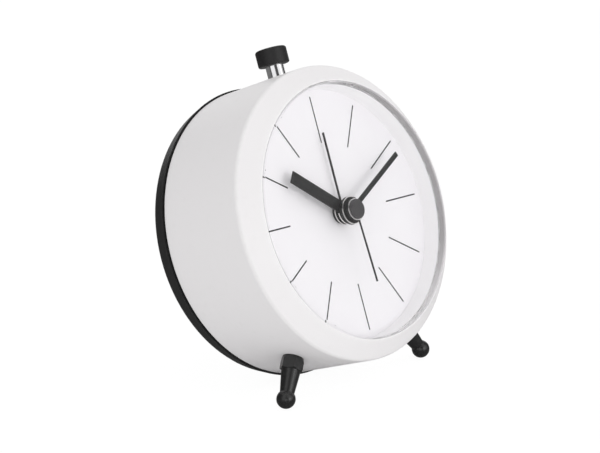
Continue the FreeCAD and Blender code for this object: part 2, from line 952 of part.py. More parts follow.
def make_minute_hand():
    plate = hand_plate(minute_length, minute_width, minute_disc_radius, minute_tube_radius, minute_height)
    front_y = hand_thickness - minute_height
    hub = tube(minute_disc_radius, minute_tube_radius, front_y, front_y + minute_hub_depth - hand_thickness)
    return hand_at(join(plate, hub), minute_angle)


def make_second_hand():
    front_y = -second_height
    half = second_width / 2
    arm = slab([(-half, 0), (half, 0), (half, second_length), (-half, second_length)],
               front_y, front_y + hand_thickness)
    hub = turned([
        (second_arbor_radius, front_y),
        (second_hub_radius, front_y),
        (second_hub_radius, front_y + second_hub_depth),
        (second_arbor_radius, front_y + second_hub_depth),
    ])
    return hand_at(join(arm, hub).cut(rod(second_arbor_radius, front_y, 0)), second_angle)


def make_second_cap():
    rear_y = -second_height
    front_y = rear_y - second_cap_height
    return turned([
        (0, front_y),
        (second_cap_radius - second_cap_bevel, front_y),
        (second_cap_radius, front_y + second_cap_bevel),
        (second_cap_radius, rear_y),
        (0, rear_y),
    ])


# Movement

def make_movement_plate():
    half = movement_size / 2
    plan = rectangle(half, half, movement_corner)
    plate = slab(plan, carrier_rear_y, plate_rear_y)
    bush = rod(bush_radius, -bush_height, carrier_rear_y)
    stud_end = level(motion_level) + wheel_thickness + wheel_spacing / 2
    stud = rod(arbor_radius, plate_rear_y, stud_end, motion_at)
    body = join(plate, bush, stud)
    cuts = [rod(alarm_tube_radius + running_gap, -bush_height, plate_rear_y)]
    for place in (third_at, intermediate_at, rotor_at, time_set_at, alarm_set_at):
        cuts.append(pivot_hole(place, plate_rear_y, -1))
    for corner in movement_corners():
        cuts.append(rod(movement_screw_radius + slip_gap, carrier_rear_y, plate_rear_y, corner))
    return body.cut(cuts)


def board_posts():
    rear = train_rear_y
    return [rod(board_post_radius, board_y + board_thickness, rear, (x, board_z))
            for x in (-board_post_x, board_post_x)]


def stator_legs():
    """Middle of each leg that the coil's core lies on."""
    left = coil_left_x - core_overlap / 2
    right = coil_right_x + core_overlap / 2
    return ((left, coil_z), (right, coil_z))


def stator_rear_y():
    return level(second_level) + stator_thickness


def make_movement_housing():
    half = movement_size / 2
    shell = slab(rectangle(half, half, movement_corner), plate_rear_y, housing_rear_y)
    inner = half - housing_wall
    cavity = slab(rectangle(inner, inner, movement_corner - housing_wall), plate_rear_y, train_rear_y)
    shell = shell.cut(cavity)
    corners = movement_corners()
    solids = [rod(pillar_radius, plate_rear_y, train_rear_y, corner) for corner in corners]
    solids += board_posts()
    solids += [rod(stator_post_radius, stator_rear_y(), train_rear_y, leg) for leg in stator_legs()]
    cuts = [rod(movement_screw_radius, plate_rear_y, movement_screw_end_y, corner) for corner in corners]
    for place in (third_at, intermediate_at, rotor_at, (0, 0)):
        cuts.append(pivot_hole(place, train_rear_y, 1))
    for place in (time_set_at, alarm_set_at):
        cuts.append(rod(setting_arbor_radius + running_gap, train_rear_y, housing_rear_y, place))
    return join(shell, *solids).cut(cuts)


def make_movement_screws():
    sink = carrier_thickness / 2
    length = movement_screw_end_y - carrier_front_y - movement_screw_clear
    return Part.makeCompound([
        screw(movement_screw_head, sink, movement_screw_radius, length, (x, carrier_front_y, z), (0, 1, 0))
        for x, z in movement_corners()
    ])


def make_second_wheel():
    body = wheel(second_teeth, second_module, second_level)
    leaf = pinion(second_pinion_teeth, third_module, third_level)
    boss = rod(boss_radius, level(third_level), level(second_level) + wheel_thickness + wheel_spacing / 2)
    shaft = rod(second_arbor_radius, -second_height, train_rear_y - running_gap)
    pivot = rod(pivot_radius, train_rear_y - 1, train_rear_y + pivot_length)
    return join(body, leaf, boss, shaft, pivot)


def make_intermediate_wheel():
    bearing = intermediate_bearing
    leaf_phase = meshing(second_teeth, 0, intermediate_pinion_teeth, bearing)
    leaf = pinion(intermediate_pinion_teeth, second_module, second_level, intermediate_at, leaf_phase)
    body = wheel(intermediate_teeth, rotor_module, rotor_level, intermediate_at)
    boss = rod(boss_radius, level(second_level), level(rotor_level) + wheel_thickness, intermediate_at)
    return join(body, leaf, boss, arbor(intermediate_at))


def make_rotor_pinion():
    phase = meshing(intermediate_teeth, 0, rotor_teeth, rotor_bearing)
    leaf = pinion(rotor_teeth, rotor_module, rotor_level, rotor_at, phase)
    return join(leaf, arbor(rotor_at))


def magnet_front_y():
    return level(second_level) + (stator_thickness - magnet_height) / 2


def make_rotor_magnet():
    front = magnet_front_y()
    return tube(magnet_radius, arbor_radius, front, front + magnet_height, rotor_at)


def make_third_wheel():
    phase = meshing(second_pinion_teeth, 0, third_teeth, third_bearing)
    body = wheel(third_teeth, third_module, third_level, third_at, phase)
    leaf = pinion(third_pinion_teeth, centre_module, centre_level, third_at)
    boss = rod(boss_radius, level(centre_level), level(third_level) + wheel_thickness, third_at)
    return join(body, leaf, boss, arbor(third_at))


def make_centre_wheel():
    phase = meshing(third_pinion_teeth, 0, centre_teeth, third_bearing + 180)
    body = wheel(centre_teeth, centre_module, centre_level, (0, 0), phase)
    front = level(centre_level)
    return body.cut(rod(clutch_sleeve_radius + running_gap, front, front + wheel_thickness))


def make_cannon_pinion():
    leaf = pinion(cannon_teeth, motion_module, motion_level)
    front = -minute_height - tube_proud
    rear = level(centre_level) + wheel_thickness + clutch_washer_thickness + running_gap
    stem = rod(minute_tube_radius, front, level(motion_level))
    collar = rod(clutch_sleeve_radius, level(motion_level), rear)
    flange = rod(hub_radius, level(motion_level), level(centre_level) - running_gap)
    bore = rod(second_arbor_radius + running_gap, front, rear)
    return join(leaf, stem, collar, flange).cut(bore)


def make_clutch_washer():
    front = level(centre_level) + wheel_thickness + running_gap
    return tube(clutch_washer_radius, clutch_sleeve_radius, front, front + clutch_washer_thickness)


def make_motion_wheel():
    bearing = motion_bearing
    phase = meshing(cannon_teeth, 0, motion_teeth, bearing)
    body = wheel(motion_teeth, motion_module, motion_level, motion_at, phase)
    leaf = pinion(motion_pinion_teeth, hour_module, hour_level, motion_at)
    boss_front = level(hour_level) + wheel_thickness + pinion_overhang
    boss = rod(hub_radius, boss_front, level(motion_level) + wheel_thickness, motion_at)
    bore = rod(arbor_radius + running_gap, plate_rear_y, level(centre_level), motion_at)
    return join(body, leaf, boss).cut(bore)


def make_hour_wheel():
    phase = meshing(motion_pinion_teeth, 0, hour_teeth, motion_bearing + 180)
    body = wheel(hour_teeth, hour_module, hour_level, (0, 0), phase)
    front = -hour_height - tube_proud
    stem = rod(hour_tube_radius, front, level(hour_level) + wheel_thickness)
    boss = rod(hub_radius, level(hour_level), level(hour_level) + wheel_thickness + wheel_spacing / 3)
    bore = rod(minute_tube_radius + running_gap, front, level(motion_level))
    return join(body, stem, boss).cut(bore)


def make_alarm_wheel():
    body = wheel(alarm_teeth, alarm_module, alarm_level)
    front = -alarm_height - tube_proud
    stem = rod(alarm_tube_radius, front, level(alarm_level) + wheel_thickness)
    bore = rod(hour_tube_radius + running_gap, front, level(hour_level))
    return join(body, stem).cut(bore)


def setting_arbor(leaf, place):
    pivot = rod(pivot_radius, plate_rear_y - pivot_length, plate_rear_y + 1, place)
    shaft = rod(setting_arbor_radius, plate_rear_y + running_gap, setting_arbor_end_y, place)
    return join(leaf, pivot, shaft)


def make_time_set_arbor():
    motion_phase = meshing(cannon_teeth, 0, motion_teeth, motion_bearing)
    phase = meshing(motion_teeth, motion_phase, time_set_teeth, time_set_bearing)
    leaf = pinion(time_set_teeth, motion_module, motion_level, time_set_at, phase)
    return setting_arbor(leaf, time_set_at)


def make_alarm_set_arbor():
    phase = meshing(alarm_teeth, 0, alarm_set_teeth, alarm_set_bearing)
    leaf = pinion(alarm_set_teeth, alarm_module, alarm_level, alarm_set_at, phase)
    return setting_arbor(leaf, alarm_set_at)


def make_knob(place):
    front_y = cover_rear_y + knob_rise
    rear_y = front_y + knob_height
    points = []
    for i in range(knob_flutes):
        middle = i * 360 / knob_flutes
        quarter = 90 / knob_flutes
        points.append(polar(knob_radius, middle - quarter, place))
        points.append(polar(knob_radius, middle + quarter, place))
        points.append(polar(knob_radius - knob_flute_depth, middle + 2 * quarter, place))
    grip = slab(points, front_y, rear_y)
    shape = turned([
        (0, front_y),
        (knob_radius - knob_front_inset, front_y),
        (knob_radius + slip_gap, front_y + knob_edge),
        (knob_radius + slip_gap, rear_y - knob_edge),
        (knob_radius - knob_rear_inset, rear_y),
        (0, rear_y),
    ], (place[0], 0, place[1]))
    dish = rod(knob_dish_radius, rear_y - knob_dish_depth, rear_y, place)
    sleeve = rod(knob_sleeve_radius, knob_sleeve_end_y, front_y, place)
    socket = rod(setting_arbor_radius, knob_sleeve_end_y, setting_arbor_end_y, place)
    return join(grip.common(shape).cut(dish), sleeve).cut(socket)


# Motor and circuit

def make_stator():
    front = level(second_level)
    rear = front + stator_thickness
    x, z = rotor_at
    legs = stator_legs()
    half = core_overlap / 2
    foot_z = coil_z - core_width / 2
    left = min(x, legs[0][0] - half)
    arm = slab([
        (left, z - stator_arm_width / 2),
        (left, z + stator_arm_width / 2),
        (legs[1][0] + half, z + stator_arm_width / 2),
        (legs[1][0] + half, foot_z),
        (legs[1][0] - half, foot_z),
        (legs[1][0] - half, z - stator_arm_width / 2),
        (legs[0][0] + half, z - stator_arm_width / 2),
        (legs[0][0] + half, foot_z),
        (legs[0][0] - half, foot_z),
        (legs[0][0] - half, z - stator_arm_width / 2),
    ], front, rear)
    ring = rod(stator_ring_radius, front, rear, rotor_at)
    return join(arm, ring).cut(rod(stator_hole_radius, front, rear, rotor_at))


def core_span():
    return coil_left_x - core_overlap, coil_right_x + core_overlap


def make_coil_core():
    low, high = core_span()
    front = level(second_level) - stator_thickness
    half = core_width / 2
    return block(low, high, front, level(second_level), coil_z - half, coil_z + half)


def coil_tube(outer, inner, low, high):
    axis_y = level(second_level) - stator_thickness / 2
    base = V(low, axis_y, coil_z)
    body = Part.makeCylinder(outer, high - low, base, V(1, 0, 0))
    return body.cut(Part.makeCylinder(inner, high - low, base, V(1, 0, 0))) if inner else body


def make_coil_bobbin():
    flange = coil_flange
    body = coil_tube(coil_inner_radius, 0, coil_left_x, coil_right_x)
    left = coil_tube(coil_radius, 0, coil_left_x, coil_left_x + flange)
    right = coil_tube(coil_radius, 0, coil_right_x - flange, coil_right_x)
    return join(body, left, right).cut(make_coil_core())


def make_coil_winding():
    low = coil_left_x + coil_flange
    return coil_tube(coil_radius - coil_flange / 4, coil_inner_radius, low, coil_right_x - coil_flange)


def make_circuit_board():
    half_x = board_width / 2
    half_z = board_depth / 2
    plan = rectangle(half_x, half_z, board_corner, (0, board_z))
    return slab(plan, board_y, board_y + board_thickness)


def make_quartz_crystal():
    start = crystal_x - crystal_length / 2
    return turned([
        (0, 0),
        (crystal_radius, 0),
        (crystal_radius, crystal_length),
        (0, crystal_length),
    ], (start, board_y - crystal_radius, board_z), (1, 0, 0))


def make_chip():
    return turned([
        (0, 0),
        (chip_radius, 0),
        (chip_top_radius, chip_height),
        (0, chip_height),
    ], (chip_x, board_y, board_z), (0, -1, 0))


def make_buzzer():
    rear = cover_inner_y
    plate = rod(buzzer_radius, rear - buzzer_thickness, rear, (0, buzzer_z))
    disc = rod(buzzer_disc_radius, rear - buzzer_disc_thickness, rear, (0, buzzer_z))
    return join(plate, disc)


def make_alarm_lever():
    place = (lever_x, lever_z)
    slide_rear = cover_inner_y - running_gap
    slide_front = slide_rear - lever_slide_thickness
    grip_front = cover_rear_y + running_gap
    grip_rear = cover_rear_y + lever_height
    half_length = lever_length / 2
    half_width = lever_width / 2
    grip = slab(rectangle(half_length, half_width, lever_round, place), grip_front, grip_rear)
    neck = slab(rectangle(lever_neck / 2, lever_neck / 2, 0, place), slide_front, grip_rear)
    slide = slab(rectangle(half_length, half_width, 0, place), slide_front, slide_rear)
    return join(grip, neck, slide)


def make_alarm_switch():
    """Box inside the cover that the lever's slide runs in."""
    place = (lever_x + lever_travel / 2, lever_z)
    half_length = (lever_length + lever_travel) / 2 + moving_gap
    half_width = lever_width / 2 + moving_gap
    wall = lever_base_wall
    front = cover_inner_y - lever_base_height
    outer = rectangle(half_length + wall, half_width + wall, 0, place)
    room = slab(rectangle(half_length, half_width, 0, place), front + wall, cover_inner_y)
    return slab(outer, front, cover_inner_y).cut(room)


# Standing on a table: the drum leans back on its ball feet and the lower edge of its cover

def lean_angle():
    """Angle at which both balls and the cover's rounded edge touch one flat surface."""
    flank = math.atan2(cover_taper, cover_depth)
    edge_y = cover_rear_y - cover_edge_round
    edge_reach = cover_rear_radius - cover_edge_round / math.tan((math.pi / 2 + flank) / 2)
    ball_depth = ball_reach * math.cos(math.radians(foot_angle))
    run = edge_y - foot_y
    drop = ball_depth - edge_reach
    extra = ball_radius - cover_edge_round
    return math.degrees(math.atan2(drop, run) + math.asin(extra / math.hypot(drop, run)))


def standing_placement(shapes):
    """Leans the clock back, sets its lowest point on Z = 0 and its box's middle on the Z axis."""
    lean = FreeCAD.Placement(V(0, 0, 0), FreeCAD.Rotation(V(1, 0, 0), -lean_angle()))
    group = Part.makeCompound(shapes)
    group.Placement = lean
    box = group.optimalBoundingBox(False, False)
    return FreeCAD.Placement(V(-box.Center.x, -box.Center.y, -box.ZMin), FreeCAD.Rotation()).multiply(lean)


def build_parts():
    return {
        "case_shell": make_case_shell(),
        "lens": make_lens(),
        "dial_ring": make_dial_ring(),
        "dial": make_dial(),
        "dial_carrier": make_dial_carrier(),
        "alarm_hand": make_alarm_hand(),
        "hour_hand": make_hour_hand(),
        "minute_hand": make_minute_hand(),
        "second_hand": make_second_hand(),
        "second_hand_cap": make_second_cap(),
        "movement_plate": make_movement_plate(),
        "movement_housing": make_movement_housing(),
        "movement_screws": make_movement_screws(),
        "alarm_wheel": make_alarm_wheel(),
        "hour_wheel": make_hour_wheel(),
        "cannon_pinion": make_cannon_pinion(),
        "clutch_washer": make_clutch_washer(),
        "motion_wheel": make_motion_wheel(),
        "centre_wheel": make_centre_wheel(),
        "third_wheel": make_third_wheel(),
        "second_wheel": make_second_wheel(),
        "intermediate_wheel": make_intermediate_wheel(),
        "rotor_pinion": make_rotor_pinion(),
        "rotor_magnet": make_rotor_magnet(),
        "stator": make_stator(),
        "coil_core": make_coil_core(),
        "coil_bobbin": make_coil_bobbin(),
        "coil_winding": make_coil_winding(),
        "circuit_board": make_circuit_board(),
        "quartz_crystal": make_quartz_crystal(),
        "clock_chip": make_chip(),
        "time_set_arbor": make_time_set_arbor(),
        "alarm_set_arbor": make_alarm_set_arbor(),
        "time_knob": make_knob(time_set_at),
        "alarm_knob": make_knob(alarm_set_at),
        "back_cover": make_back_cover(),
        "cover_screws": make_cover_screws(),
        "battery": make_battery(),
        "battery_contact_positive": make_positive_contact(),
        "battery_contact_negative": make_negative_contact(),
        "battery_door": make_battery_door(),
        "alarm_switch": make_alarm_switch(),
        "alarm_switch_lever": make_alarm_lever(),
        "buzzer": make_buzzer(),
        "button_cap": make_button_cap(),
        "button_stem": make_button_stem(),
        "stem_clip": make_stem_clip(),
        "stem_guide": make_stem_guide(),
        "button_spring": make_button_spring(),
        "snooze_switch": make_snooze_switch(),
        "foot_left": make_foot(-1),
        "foot_right": make_foot(1),
        "foot_washers": make_foot_washers(),
        "foot_nuts": make_foot_nuts(),
    }


outside = ("case_shell", "lens", "back_cover", "button_cap", "foot_left", "foot_right", "time_knob")
parts = build_parts()
standing = standing_placement([parts[name] for name in outside])
os.makedirs("parts", exist_ok=True)
for name, shape in parts.items():
    shape.Placement = standing.multiply(shape.Placement)
    shape.exportStep("parts/" + name + ".step")
print(len(parts), "parts, leaning back", round(lean_angle(), 2), "degrees")
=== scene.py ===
import json
import math
import bpy
from mathutils import Euler, Matrix, Vector


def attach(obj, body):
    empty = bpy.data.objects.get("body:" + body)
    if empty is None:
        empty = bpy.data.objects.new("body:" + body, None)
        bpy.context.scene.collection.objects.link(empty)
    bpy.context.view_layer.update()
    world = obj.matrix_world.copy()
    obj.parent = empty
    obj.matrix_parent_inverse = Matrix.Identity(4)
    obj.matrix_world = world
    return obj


# Sizes are in millimetres in the clock's own frame: X to the reader's right, Y from the dial into
# the drum, Z to 12 o'clock, from the middle of the dial's face. Clock angles turn clockwise from 12.
mm = 0.001

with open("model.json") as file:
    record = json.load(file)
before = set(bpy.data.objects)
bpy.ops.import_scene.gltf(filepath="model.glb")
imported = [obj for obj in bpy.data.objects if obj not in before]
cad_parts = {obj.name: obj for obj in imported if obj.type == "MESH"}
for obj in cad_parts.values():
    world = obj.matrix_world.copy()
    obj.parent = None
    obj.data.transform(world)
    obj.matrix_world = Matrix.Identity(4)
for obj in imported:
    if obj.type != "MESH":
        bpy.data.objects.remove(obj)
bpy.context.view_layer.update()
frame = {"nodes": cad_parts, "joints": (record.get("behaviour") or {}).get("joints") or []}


def jointNamed(name):
    return next(joint for joint in frame["joints"] if joint["name"] == name)


handJoint = jointNamed("second_hand_turn")
rightWay = Vector((1, 0, 0))
inwardWay = Vector(handJoint["axis"])
upWay = rightWay.cross(inwardWay)
lean = Matrix((rightWay, inwardWay, upWay)).transposed().to_4x4()
standing = Matrix.Translation(Vector(handJoint["pos_m"])) @ lean    # clock frame to scene
print("frame loaded:", len(frame["nodes"]), "nodes")


# Camera and lamps

camera = {
    "place": (-370.204, -340.336, 0.137),
    "turn": (89.8801, 14.5207, -45.9675),    # degrees about the clock's X, Y and Z
    "lens": 94.9801,
    "sensor": 36.0,
}


def addCamera(settings):
    data = bpy.data.cameras.new("camera")
    data.lens = settings["lens"]
    data.sensor_width = settings["sensor"]
    thing = bpy.data.objects.new("camera", data)
    bpy.context.scene.collection.objects.link(thing)
    turn = Euler([math.radians(angle) for angle in settings["turn"]]).to_matrix().to_4x4()
    thing.matrix_world = standing @ Matrix.Translation(Vector(settings["place"]) * mm) @ turn
    bpy.context.scene.camera = thing
    bpy.context.scene.view_settings.view_transform = "Standard"    # colours with no film curve


# Aims are in the clock's frame, distances and sizes in metres, and powers in watts
lamps = {
    "lowSoftbox": {"aim": (0.0, -1.0, -0.2), "distance": 0.8, "size": 0.35, "power": 1.12},
    "rightSoftbox": {"aim": (0.6, -0.8, 0.1), "distance": 0.8, "size": 0.6, "power": 0.39},
    "leftSoftbox": {"aim": (-0.7, -0.7, -0.15), "distance": 0.8, "size": 0.3, "power": 0.51},
}


def addLamp(name, settings):
    data = bpy.data.lights.new(name, "AREA")
    data.shape = "DISK"
    data.size = settings["size"]
    data.energy = settings["power"]
    thing = bpy.data.objects.new(name, data)
    bpy.context.scene.collection.objects.link(thing)
    aim = (lean @ Vector(settings["aim"])).normalized()
    turn = aim.to_track_quat("Z", "Y").to_matrix().to_4x4()
    thing.matrix_world = Matrix.Translation(standing.translation + aim * settings["distance"]) @ turn


maskEdge = 0.02    # softness of a mask's sharp edge


# One output socket of a material or world, so that sums on it can be written as plain sums
class Shade:
    def __init__(self, tree, socket=None):
        self.tree = tree
        self.socket = socket

    # Adds a node: its settings first, then the values or links of its sockets
    def add(self, kind, settings=None, inputs=None, output=0):
        node = self.tree.nodes.new("ShaderNode" + kind)
        for name, value in (settings or {}).items():
            setattr(node, name, value)
        for name, value in (inputs or {}).items():
            if isinstance(value, Shade):
                self.tree.links.new(value.socket, node.inputs[name])
            else:
                node.inputs[name].default_value = value
        return Shade(self.tree, node.outputs[output] if node.outputs else None)

    def out(self, name):
        return Shade(self.tree, self.socket.node.outputs[name])

    def maths(self, operation, *terms):
        return self.add("Math", {"operation": operation}, dict(enumerate(terms)))

    def __add__(self, other):
        return self.maths("ADD", self, other)

    def __sub__(self, other):
        return self.maths("SUBTRACT", self, other)

    def __rsub__(self, other):
        return self.maths("SUBTRACT", other, self)

    def __mul__(self, other):
        return self.maths("MULTIPLY", self, other)

    __radd__ = __add__
    __rmul__ = __mul__

    # 0 below the first value, 1 above the second, smooth between
    def between(self, low, high):
        settings = {"interpolation_type": "SMOOTHSTEP"}
        return self.add("MapRange", settings, {"Value": self, "From Min": low, "From Max": high})

    # 1 from a value on, with a hair's softness before it
    def onFrom(self, value):
        return self.between(value - maskEdge, value)

    # 1 beyond a value, with a hair's softness after it
    def beyond(self, value):
        return self.between(value, value + maskEdge)

    # Blends two colours: a Mix node takes them at sockets 6 and 7 and gives one at output 2
    def blend(self, first, second):
        return self.add("Mix", {"data_type": "RGBA"}, {0: self, 6: first, 7: second}, 2)


# Colour as it looks on a screen, 0 to 255, turned into the linear values that a shader takes
def screen(red, green, blue):
    def linear(value):
        share = value / 255
        return share / 12.92 if share <= 0.04045 else ((share + 0.055) / 1.055) ** 2.4
    return (linear(red), linear(green), linear(blue), 1)


def shaded(colour, share):
    return tuple(value * share for value in colour[:3]) + (1,)


def emptyMaterial(name):
    material = bpy.data.materials.new(name)
    material.use_nodes = True
    material.node_tree.nodes.clear()
    return material, Shade(material.node_tree)


# Starts a finish, and gives the shaded spot's place in the clock's frame
def newFinish(name):
    material, shade = emptyMaterial(name)
    settings = {"vector_type": "TEXTURE"}
    inputs = {"Vector": shade.add("TexCoord", None, None, "Object"), "Scale": (mm, mm, mm),
              "Location": standing.translation, "Rotation": lean.to_euler()}
    return material, shade.add("Mapping", settings, inputs)


# Soft noise in patches of a size, from 0 to 1 about a middle of 0.5
def noise(spot, size, detail=3.0, stretch=None):
    if stretch:
        spot = spot.add("VectorMath", {"operation": "MULTIPLY"}, {0: spot, 1: stretch})
    return spot.add("TexNoise", None, {"Vector": spot, "Scale": 1 / size, "Detail": detail})


def along(spot, axis):
    return spot.add("SeparateXYZ", None, {0: spot}).out(axis)


# Distance of a spot from the hands' axis
def reachOf(spot):
    flat = spot.add("VectorMath", {"operation": "MULTIPLY"}, {0: spot, 1: (1, 0, 1)})
    return spot.add("VectorMath", {"operation": "LENGTH"}, {0: flat}, "Value")


def bump(spot, height, depth):
    return spot.add("Bump", None, {"Height": height, "Distance": depth * mm, "Strength": 1.0})


def mixed(share, first, second):
    return share.add("MixShader", None, {0: share, 1: first, 2: second})


def close(spot, surface):
    spot.add("OutputMaterial", None, {"Surface": surface})


def sheen(spot, **sockets):
    inputs = {name.replace("_", " "): value for name, value in sockets.items()}
    return spot.add("BsdfPrincipled", None, inputs)


# What all plastic and paint here share: how dust lies on it and how wear breaks up into patches
skin = {"dustLevels": (0.56, 0.74), "dustDulls": 0.08, "wearSize": 1.7, "wearLevels": (0.38, 0.62)}


# Moulded plastic and paint: the colour drifts a little, the skin has a fine grain, and rubbed parts
# are smoother. Paint may also be cut away to bare metal.
def moulded(name, look, rubbed=None, bare=None):
    material, spot = newFinish(name)
    drift = noise(spot, look["driftSize"], detail=2.0)
    grain = noise(spot, look["grainSize"], detail=2.0)
    dust = noise(spot, look["dustSize"], detail=6.0).between(*skin["dustLevels"])
    tone = drift.blend(shaded(look["colour"], 1 - look["drift"]), look["colour"])
    tone = (dust * look["dust"]).blend(tone, look["dustColour"])
    rough = look["roughness"] + (drift - 0.5) * look["roughDrift"] + dust * skin["dustDulls"]
    if rubbed:
        worn = rubbed(spot) * noise(spot, skin["wearSize"], detail=4.0).between(*skin["wearLevels"])
        rough = rough - worn * look["polish"]
        tone = (worn * look["wear"]).blend(tone, look["wornColour"])
    metal = 0.0
    if bare:
        metal = bare(spot)
        tone = metal.blend(tone, look["metalColour"])
        rough = rough + metal * (look["metalRoughness"] - look["roughness"])
    normal = bump(spot, grain, look["grainDepth"])
    close(spot, sheen(spot, Base_Color=tone, Roughness=rough, Metallic=metal, Normal=normal,
                      Specular_IOR_Level=look["gloss"]))
    return material


whiteCase = {
    "colour": screen(239, 237, 238), "drift": 0.012, "driftSize": 34.0,
    "roughness": 0.46, "roughDrift": 0.10, "grainSize": 0.22, "grainDepth": 0.012,
    "dust": 0.05, "dustSize": 2.6, "dustColour": screen(205, 203, 198),
    "wear": 0.25, "wornColour": screen(246, 246, 245), "polish": 0.14, "gloss": 0.5,
    "rubbedLip": (-8.9, -8.0), "rubbedShoulder": (46.6, 47.2), "shoulderDepth": (-4.2, -2.2),
}


def caseRub(spot):
    depth = along(spot, "Y")
    lip = 1 - depth.between(*whiteCase["rubbedLip"])
    shoulder = reachOf(spot).between(*whiteCase["rubbedShoulder"])
    shoulder = shoulder * (1 - depth.between(*whiteCase["shoulderDepth"]))
    return spot.maths("MAXIMUM", lip, shoulder)


whiteRing = dict(whiteCase, colour=screen(253, 252, 253), roughness=0.38, drift=0.008, grainSize=0.3)

blackCover = {
    "colour": screen(36, 36, 36), "drift": 0.14, "driftSize": 26.0,
    "roughness": 0.44, "roughDrift": 0.14, "grainSize": 0.35, "grainDepth": 0.03,
    "dust": 0.12, "dustSize": 1.9, "dustColour": screen(92, 91, 88),
    "wear": 0.3, "wornColour": screen(40, 40, 41), "polish": 0.16, "gloss": 0.3,
    "rubbedEdge": (42.6, 44.0), "edgeDepth": (34.0, 36.2),
}


def coverRub(spot):
    edge = reachOf(spot).between(*blackCover["rubbedEdge"])
    return edge * along(spot, "Y").between(*blackCover["edgeDepth"])


blackGloss = dict(blackCover, colour=screen(12, 12, 13), roughness=0.24, roughDrift=0.10, grainSize=0.8,
                  grainDepth=0.006, dust=0.06, dustSize=1.2, wear=0.5, polish=0.10)

blackCap = dict(blackGloss, colour=screen(31, 30, 31), roughness=0.5, gloss=0.4, rubbedTop=(56.2, 56.9))


def capRub(spot):
    return along(spot, "Z").between(*blackCap["rubbedTop"])


blackPaint = dict(blackCover, colour=screen(33, 33, 33), roughness=0.3, grainSize=0.5, grainDepth=0.012,
                  gloss=0.5, dust=0.08, dustSize=1.4, wear=0.7, wornColour=screen(66, 64, 61), polish=0.06,
                  rubbedSole=(0.2 * mm, 0.9 * mm))    # height above the table


def footRub(spot):
    upright = spot.add("TexCoord", None, None, "Object")
    return 1 - along(upright, "Z").between(*blackPaint["rubbedSole"])


movementPlastic = dict(blackCover, colour=screen(54, 54, 56), drift=0.10, roughness=0.5, grainSize=0.5)
gearPlastic = dict(whiteCase, colour=screen(228, 223, 205), drift=0.03, driftSize=9.0, roughness=0.34,
                   grainSize=0.7, grainDepth=0.006, dust=0.04)
bobbinPlastic = dict(gearPlastic, colour=screen(214, 212, 200), roughness=0.42)
chipResin = dict(blackCover, colour=screen(18, 18, 19), driftSize=2.0, roughness=0.32, grainSize=0.6,
                 grainDepth=0.02, dust=0.02)


# Matt printed dial: white paint on sheet, with a faint drift and a very fine tooth
dialPaint = {
    "colour": screen(246, 244, 247), "roughness": 0.62, "roughTooth": 0.12, "toothSize": 0.16,
    "toothDepth": 0.008, "driftSize": 18.0, "drift": 0.008,
}


def dialFinish(name, look):
    material, spot = newFinish(name)
    drift = noise(spot, look["driftSize"], detail=2.0)
    tooth = noise(spot, look["toothSize"])
    tone = drift.blend(shaded(look["colour"], 1 - look["drift"]), look["colour"])
    rough = look["roughness"] + (tooth - 0.5) * look["roughTooth"]
    normal = bump(spot, tooth, look["toothDepth"])
    close(spot, sheen(spot, Base_Color=tone, Roughness=rough, Normal=normal))
    return material


# Black lacquer on the hands and the dial's marks
lacquer = {
    "colour": screen(28, 27, 28), "drift": 0.12, "driftSize": 5.0, "roughness": 0.42, "roughDrift": 0.12,
    "grainSize": 0.12, "grainDepth": 0.006, "dust": 0.03, "dustSize": 0.8, "dustColour": screen(90, 88, 84),
    "gloss": 0.27, "metalColour": screen(236, 234, 233), "metalRoughness": 0.3,
}
alarmLacquer = dict(lacquer, colour=screen(40, 39, 40), roughness=0.5)


# Bare metal rings round the hands' hubs, between two radii and two depths. A ring is open towards the
# hand's arm, which leaves the hub at a clock angle and starts this far from the hands' axis.
hubRings = {
    "alarm": {"radii": (3.87, 3.95), "depths": (-2.0, -1.4), "armAngle": 0.0, "armStart": 3.6},
    "hour": {"radii": (4.07, 4.15), "depths": (-3.7, -3.1), "armAngle": 305.2, "armStart": 3.4},
    "minute": {"radii": (4.25, 4.55), "depths": (-5.8, -5.5), "armAngle": 62.9, "armStart": 3.6},
    "second": {"radii": (3.18, 3.55), "depths": (-7.5, -7.2), "armAngle": 177.0, "armStart": 9.0},
}


def hubRing(settings):
    inner, outer = settings["radii"]
    front, rear = settings["depths"]
    turn = math.radians(settings["armAngle"])

    def ring(spot):
        reach = reachOf(spot)
        depth = along(spot, "Y")
        ahead = along(spot, "X") * math.sin(turn) + along(spot, "Z") * math.cos(turn)
        band = reach.onFrom(inner) * (1 - reach.beyond(outer))
        band = band * depth.onFrom(front) * (1 - depth.beyond(rear))
        return band * (1 - ahead.onFrom(settings["armStart"]))
    return ring


printInk = dict(lacquer, colour=screen(34, 34, 35), roughness=0.6)
capLacquer = dict(lacquer, colour=screen(66, 64, 66), roughness=0.34)


# Clear acrylic. Rays on their way to a lamp or off a dull surface go straight through, so that the
# dial behind it is lit as if the acrylic were open. Its rim bends no light, light that would be
# trapped inside goes straight on, and its skirt is tinted grey as painted shade, fading out towards the
# bottom.
lensAcrylic = {
    "colour": (0.995, 0.995, 0.995, 1), "ior": 1.49, "mirrorTint": (0.35, 0.35, 0.35, 1),
    "smear": 0.012, "smearSize": 14.0, "smearLevels": (0.52, 0.8),
    "clearness": (0.98, 0.98, 0.98, 1), "rimRoughness": 0.08,
    "rearFace": -8.65, "rearRim": 40.25,            # depth and radius where the rim starts at the back
    "frontRim": 40.9,                               # and its radius at the front
    "trapping": (0.97, 0.99),                       # share mirrored at which light counts as trapped
    # The skirt's grey tint is painted shade
    "skirtStart": -8.55, "skirtShadeTint": (0.73, 0.727, 0.73, 1),
    "skirtShadeFade": (-37.0, -13.0),                    # heights between which the painted shade comes in, full above the second
}


